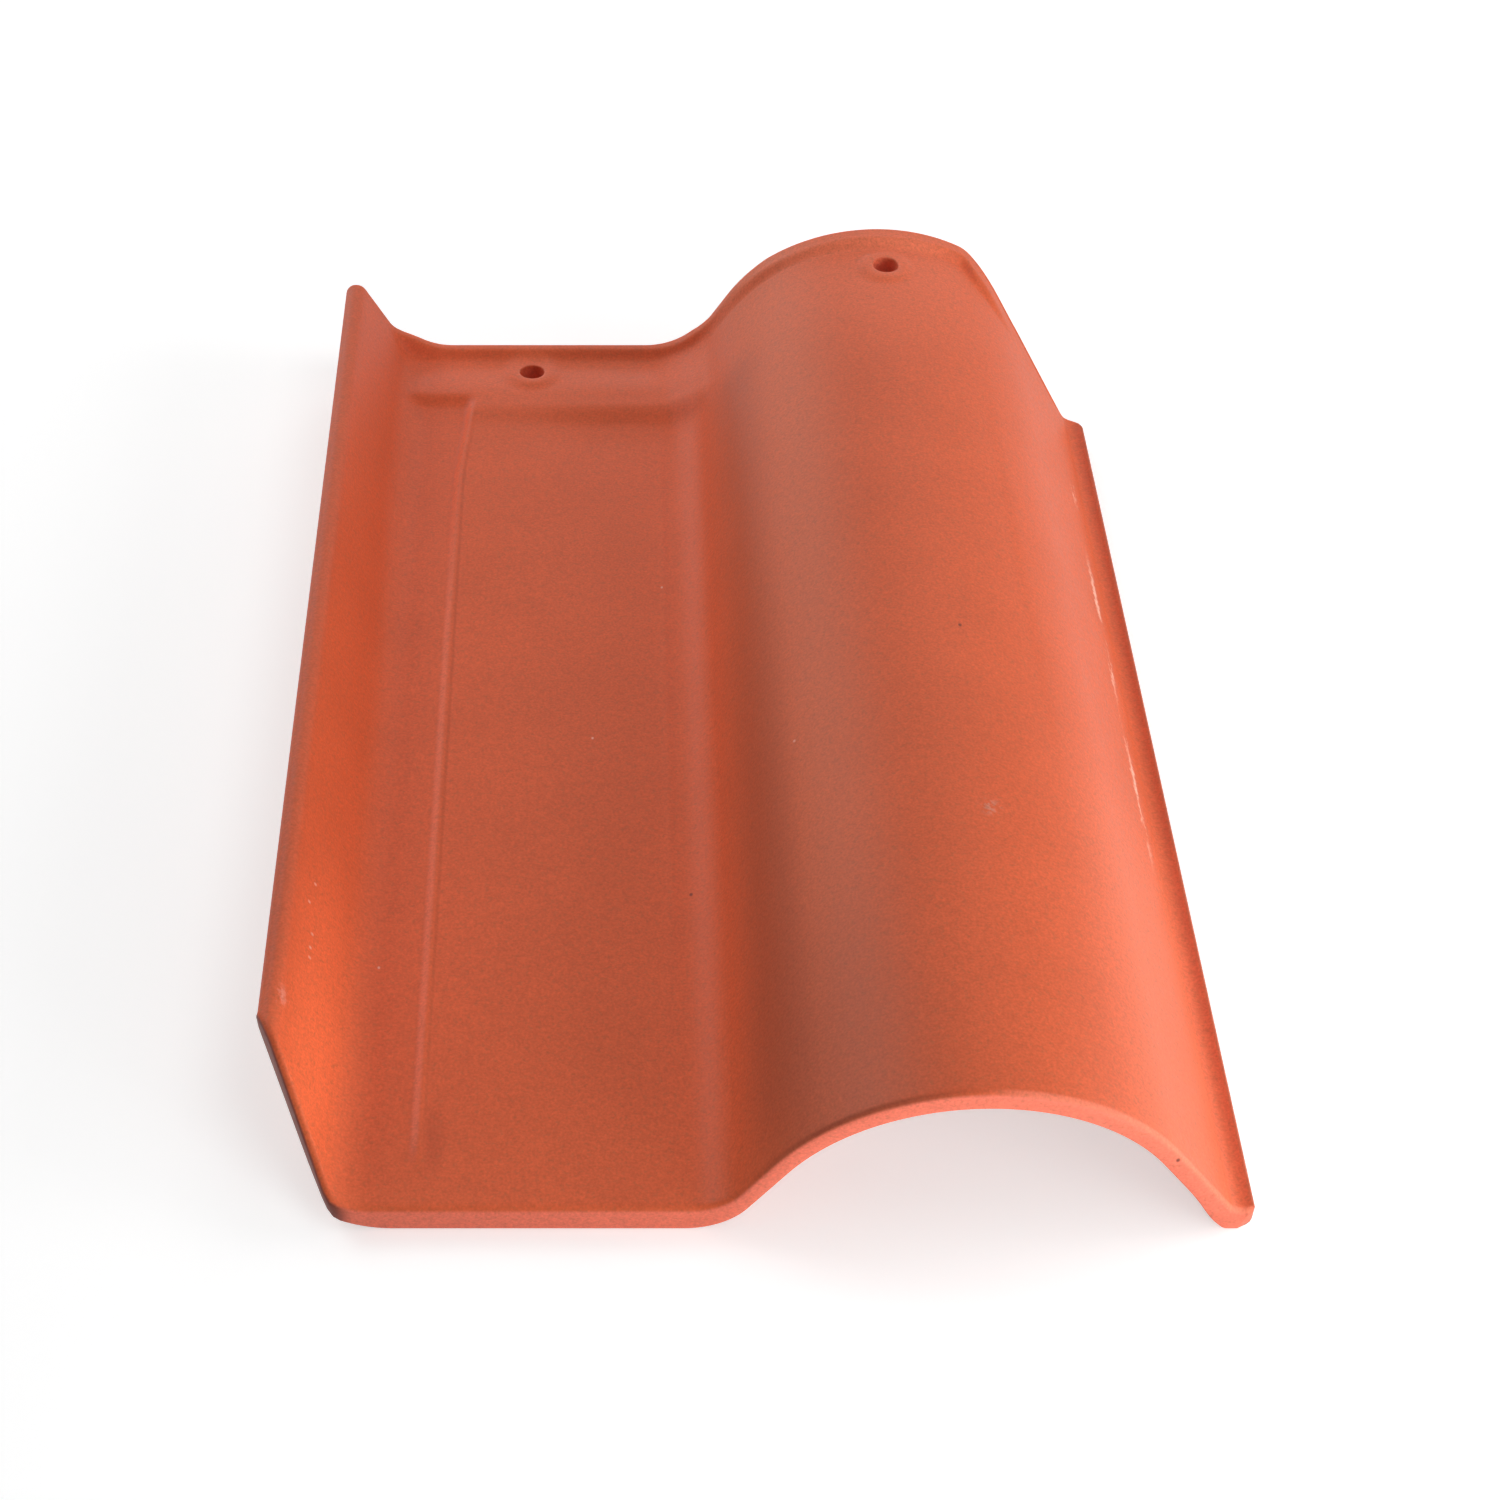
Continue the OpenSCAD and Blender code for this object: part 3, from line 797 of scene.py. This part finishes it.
from_bead = k.math("SUBTRACT", k.x, k.span(k.y, *BEAD_SLANT_Y, 0.0, BEAD_SLANT))
bead_start = k.span(k.y, -190, -176)
body_length = k.times(k.span(k.y, -205, -180), k.span(k.y, 168, 150))
# Painted pool of light on the lip's inner face toward the butt.
lip_painted_light = k.spot((-127, -164, 24), (18, 105, 32))
# Painted sheen, greyish and lighter, over the fillet and the barrel's left flank.
flank_painted_sheen = k.band(k.x, 0, 36, 14)
# Painted shade along the barrel's left flank, which faces away from the lamps.
flank_painted_shade = k.times(k.band(k.x, 1, 14, 6), body_length)
# Painted shade on the barrel's left crown toward the butt.
butt_end_painted_shade = k.spot((24, -195, 45), (44, 130, 60))
# Painted shade on the lip's inner face toward the head.
lip_head_painted_shade = k.times(k.span(k.x, -116, -124), k.span(k.y, -40, 60))
crest = k.times(k.span(k.x, -133, -138), k.span(k.y, -170, -120))
# Painted shade in the dip at the butt end of the bead.
bead_end_painted_shade = k.spot((-92.5, -181, 10), (7, 19, 8))
# Painted highlight on the bead's left slope.
bead_painted_highlight = k.times(k.band(from_bead, -98.4, -96.5, 0.7), bead_start, k.span(k.y, 172, 166))
# Painted shade on the bead's right slope.
bead_painted_shade = k.times(k.band(from_bead, -95.3, -94.4, 0.5), bead_start, k.span(k.y, 160, 120))
# Painted shade at the foot of the barrel's left flank, stronger toward the butt.
flank_foot_painted_shade = k.times(k.band(k.x, 1, 16, 5), k.span(k.y, 60, -120))
# Painted light on the barrel's crown near the head, against the flare's shade.
head_crown_painted_light = k.times(k.span(k.y, 110, 185), k.band(k.x, 24, 96, 20))
# Painted light on the rim's shaded front slope across the barrel.
rim_foot_painted_light = k.times(k.band(k.y, 194.5, 199.5, 2), k.band(k.x, 8, 88, 10))
# Painted light on the barrel's right flank toward the butt.
toe_side_painted_light = k.times(k.span(k.y, -20, -120), k.span(k.x, 92, 116))
colour = k.layers(colour, (
    (lip_painted_light, 0.85, (0.98, 0.186, 0.067)),
    (flank_painted_sheen, 0.34, (0.68, 0.200, 0.095)),
    (flank_painted_shade, 0.38, (0.36, 0.085, 0.042)),
    (butt_end_painted_shade, 0.48, (0.42, 0.085, 0.040)),
    (lip_head_painted_shade, 0.15, (0.52, 0.085, 0.036)),
    (crest, 0.30, (0.50, 0.090, 0.038)),
    (bead_end_painted_shade, 0.45, (0.42, 0.068, 0.028)),
    (bead_painted_highlight, 0.55, (0.96, 0.24, 0.125)),
    (bead_painted_shade, 0.34, (0.40, 0.07, 0.030)),
    (flank_foot_painted_shade, 0.25, (0.30, 0.065, 0.032)),
    (head_crown_painted_light, 0.45, (0.90, 0.190, 0.090)),
    (rim_foot_painted_light, 0.45, (0.98, 0.26, 0.14)),
    (toe_side_painted_light, 0.40, (0.92, 0.210, 0.105)),
))

# Raw cut faces, the arrises, the underside and the nail holes, with painted shade on the clipped corner's face
# and the toe's outer edge and a painted highlight on the butt's arris over the crown.
butt = k.mark("butt")
butt_arris = k.mark("butt_arris")
colour = k.mix(butt, colour, (0.84, 0.185, 0.110, 1))
colour = k.layers(colour, (
    # Painted shade on the clipped corner's face at the butt.
    (k.times(butt, k.span(k.x, -113, -119)), 0.85, (0.14, 0.028, 0.018)),
    # Painted highlight on the butt's arris over the barrel's crown.
    (k.times(butt_arris, k.span(k.x, 56, 76)), 0.4, (0.95, 0.30, 0.20)),
    (k.times(butt_arris, k.band(k.x, 8, 52, 12)), 0.6, (0.26, 0.055, 0.030)),
    # Painted shade on the toe's outer edge.
    (k.mark("toe_edge"), 0.55, (0.36, 0.068, 0.030)),
    (k.mark("under"), 0.8, (0.62, 0.135, 0.066)),
    (k.math("ADD", k.mark("bore"), k.times(k.mark("mouth"), 0.45)), 0.5, (0.80, 0.22, 0.14)),
))

# Marks of handling: specks, a scuff on the lip and a smear on the crown; and painted glints of light along the
# toe's flare.
PALE_SPECK = (0.95, 0.60, 0.48)
PALE_SPECKS = (
    (-21.3, 62.1, 9.4), (-46.0, -14.6, 9.4), (17.9, -53.4, 46.4), (-130.8, -100.5, 31.5),
    (-131.8, -109.2, 33.3), (-130.3, -119.8, 30.6), (-130.4, -125.2, 30.8), (-130.3, -129.0, 30.7),
    (-111.8, -115.5, 9.5),
)
DARK_SPECK = (0.09, 0.025, 0.018)
DARK_SPECKS = ((72.3, -16.7, 62.8), (-14.6, -85.5, 9.7), (116.5, -205, 33.7))
colour = k.layers(colour, [(k.spot(c, (0.6, 0.8, 2), 0.8), 0.6, PALE_SPECK) for c in PALE_SPECKS])
colour = k.layers(colour, [(k.spot(c, (0.8, 1.0, 1.2), 0.7), 0.8, DARK_SPECK) for c in DARK_SPECKS])
# Painted glints of light in a broken line along the toe's flare.
glint_noise = k.noise(5, 3.0, 0.7, 3, (1.0, 0.16, 1.0))
glint_line = k.band(k.math("ADD", k.x, k.around(mottle, 3.0)), 131.6, 132.6, 0.5)
glint_length = k.math("MAXIMUM", k.band(k.y, 102, 120, 4), k.band(k.y, 0, 66, 12))
glint_length = k.math("MAXIMUM", glint_length, k.band(k.y, -72, -14, 12))
toe_painted_glint = k.times(glint_line, glint_length, k.span(glint_noise, 0.42, 0.54))
scuff = k.times(k.spot((-135.8, -151.5, 40), (3.2, 5.5, 6)), k.span(mottle, 0.42, 0.58))
smear = k.times(k.spot((73.2, -97.2, 62.5), (5, 5, 6)), k.span(k.noise(2.0, 2.0, 0.6, 8), 0.5, 0.62))
colour = k.layers(colour, (
    (toe_painted_glint, 0.85, (1.0, 0.56, 0.43)),
    (scuff, 0.5, (0.85, 0.38, 0.29)),
    (smear, 0.45, (0.62, 0.36, 0.28)),
))

# Fine mottling over everything.
OLIVE = (0.44, 0.125, 0.052, 1)
colour = k.mix(k.span(olive, 0.52, 0.72, 0.0, 0.30), colour, OLIVE)
fleck = k.math("ADD", k.around(mottle, 0.26), k.around(grain, 0.45))
colour = k.mix(1.0, colour, k.math("ADD", fleck, 1.0), "MULTIPLY")
k.put(shader.inputs["Base Color"], colour)
k.put(shader.inputs["Roughness"], k.span(mottle, 0.3, 0.7, 0.44, 0.52))
shader.inputs["Specular IOR Level"].default_value = 0.2
bump = k.node("ShaderNodeBump")
bump.inputs["Strength"].default_value = 0.15
bump.inputs["Distance"].default_value = 0.5 * MM
k.put(bump.inputs["Height"], k.math("ADD", k.times(mottle, 0.6), k.times(grain, 0.4)))
k.put(shader.inputs["Normal"], bump.outputs[0])
tile.data.materials.append(clay)

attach(tile, "root")
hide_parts("roof_tile")

# Pale floor and a white world behind it, as the camera and reflections see them. Sizes here are in metres.
FLOOR_REACH = 6.0
FLOOR_COLOUR = (0.8, 0.8, 0.8, 1)
FLOOR_GLOW = 0.5
WORLD_LIGHT = 0.1
WORLD_SEEN = 1.0
scene = bpy.context.scene
corners = [(sx * FLOOR_REACH, sy * FLOOR_REACH, 0) for sx, sy in ((-1, -1), (1, -1), (1, 1), (-1, 1))]
floor_mesh = bpy.data.meshes.new("floor")
floor_mesh.from_pydata(corners, [], [(0, 1, 2, 3)])
floor = bpy.data.objects.new("floor", floor_mesh)
scene.collection.objects.link(floor)
pale_floor = new_material("pale_floor")
k = Nodes(pale_floor.node_tree)
diffuse = k.node("ShaderNodeBsdfDiffuse")
diffuse.inputs["Color"].default_value = FLOOR_COLOUR
glow = k.node("ShaderNodeEmission")
k.put(glow.inputs["Strength"], k.times(k.seen_directly(), FLOOR_GLOW))
join = k.node("ShaderNodeAddShader")
k.put(join.inputs[0], diffuse.outputs[0])
k.put(join.inputs[1], glow.outputs[0])
k.put(k.node("ShaderNodeOutputMaterial").inputs["Surface"], join.outputs[0])
floor.data.materials.append(pale_floor)

world = bpy.data.worlds.new("studio")
scene.world = world
world.use_nodes = True
k = Nodes(world.node_tree)
background = world.node_tree.nodes["Background"]
background.inputs["Color"].default_value = (1, 1, 1, 1)
k.put(background.inputs["Strength"], k.span(k.seen_directly(), 0, 1, WORLD_LIGHT, WORLD_SEEN))

# Lamps: name, azimuth and elevation in degrees, distance and width in metres, watts.
FAR, BROAD = 2.2, 1.1
NEAR, SMALL = 0.75, 0.4
LAMPS = (
    ("left_back", 240, 42, FAR, BROAD, 10.3),
    ("left_low", 240, 18, FAR, BROAD, 1.5),
    ("back_high", 210, 42, FAR, BROAD, 4.1),
    ("back_low", 210, 18, FAR, BROAD, 5.0),
    ("back_strip", 180, 12, FAR, 0.5, 2.9),
    ("back_right_high", 165, 42, FAR, BROAD, 4.3),
    ("back_right_low", 150, 18, FAR, BROAD, 1.8),
    ("right_high", 68, 66, FAR, BROAD, 5.6),
    ("right_low", 90, 18, FAR, BROAD, 1.6),
    ("right_near", 90, 24, NEAR, SMALL, 1.9),
    ("front_near", 45, 10, NEAR, SMALL, 2.0),
    ("butt_near", 15, 8, 0.48, 0.25, 0.5),
)


def lamp(name, azimuth, elevation, distance, width, power):
    """Round soft lamp that faces the tile. Azimuth 0 is in front of the butt, 90 beside the barrel."""
    a, e = math.radians(azimuth), math.radians(elevation)
    back = Vector((math.sin(a) * math.cos(e), -math.cos(a) * math.cos(e), math.sin(e)))
    data = bpy.data.lights.new(name, "AREA")
    data.shape, data.size, data.energy = "DISK", width, power
    obj = bpy.data.objects.new(name, data)
    obj.location = back * distance
    obj.rotation_mode = "QUATERNION"
    obj.rotation_quaternion = (-back).to_track_quat("-Z", "Y")
    scene.collection.objects.link(obj)


for settings in LAMPS:
    lamp(*settings)

# Camera, as worked out from the photo.
CAMERA_PLACE = (-0.0435, -0.61348, 0.60338)
CAMERA_DOWN = 45.07
camera_data = bpy.data.cameras.new("camera")
camera_data.lens = 60
camera_data.sensor_width = 36
camera_data.shift_x = 0.1
camera_data.shift_y = 0.0009
camera = bpy.data.objects.new("camera", camera_data)
camera.location = CAMERA_PLACE
camera.rotation_euler = (math.radians(90 - CAMERA_DOWN), 0, 0)
scene.collection.objects.link(camera)
scene.camera = camera
scene.view_settings.view_transform = "Standard"
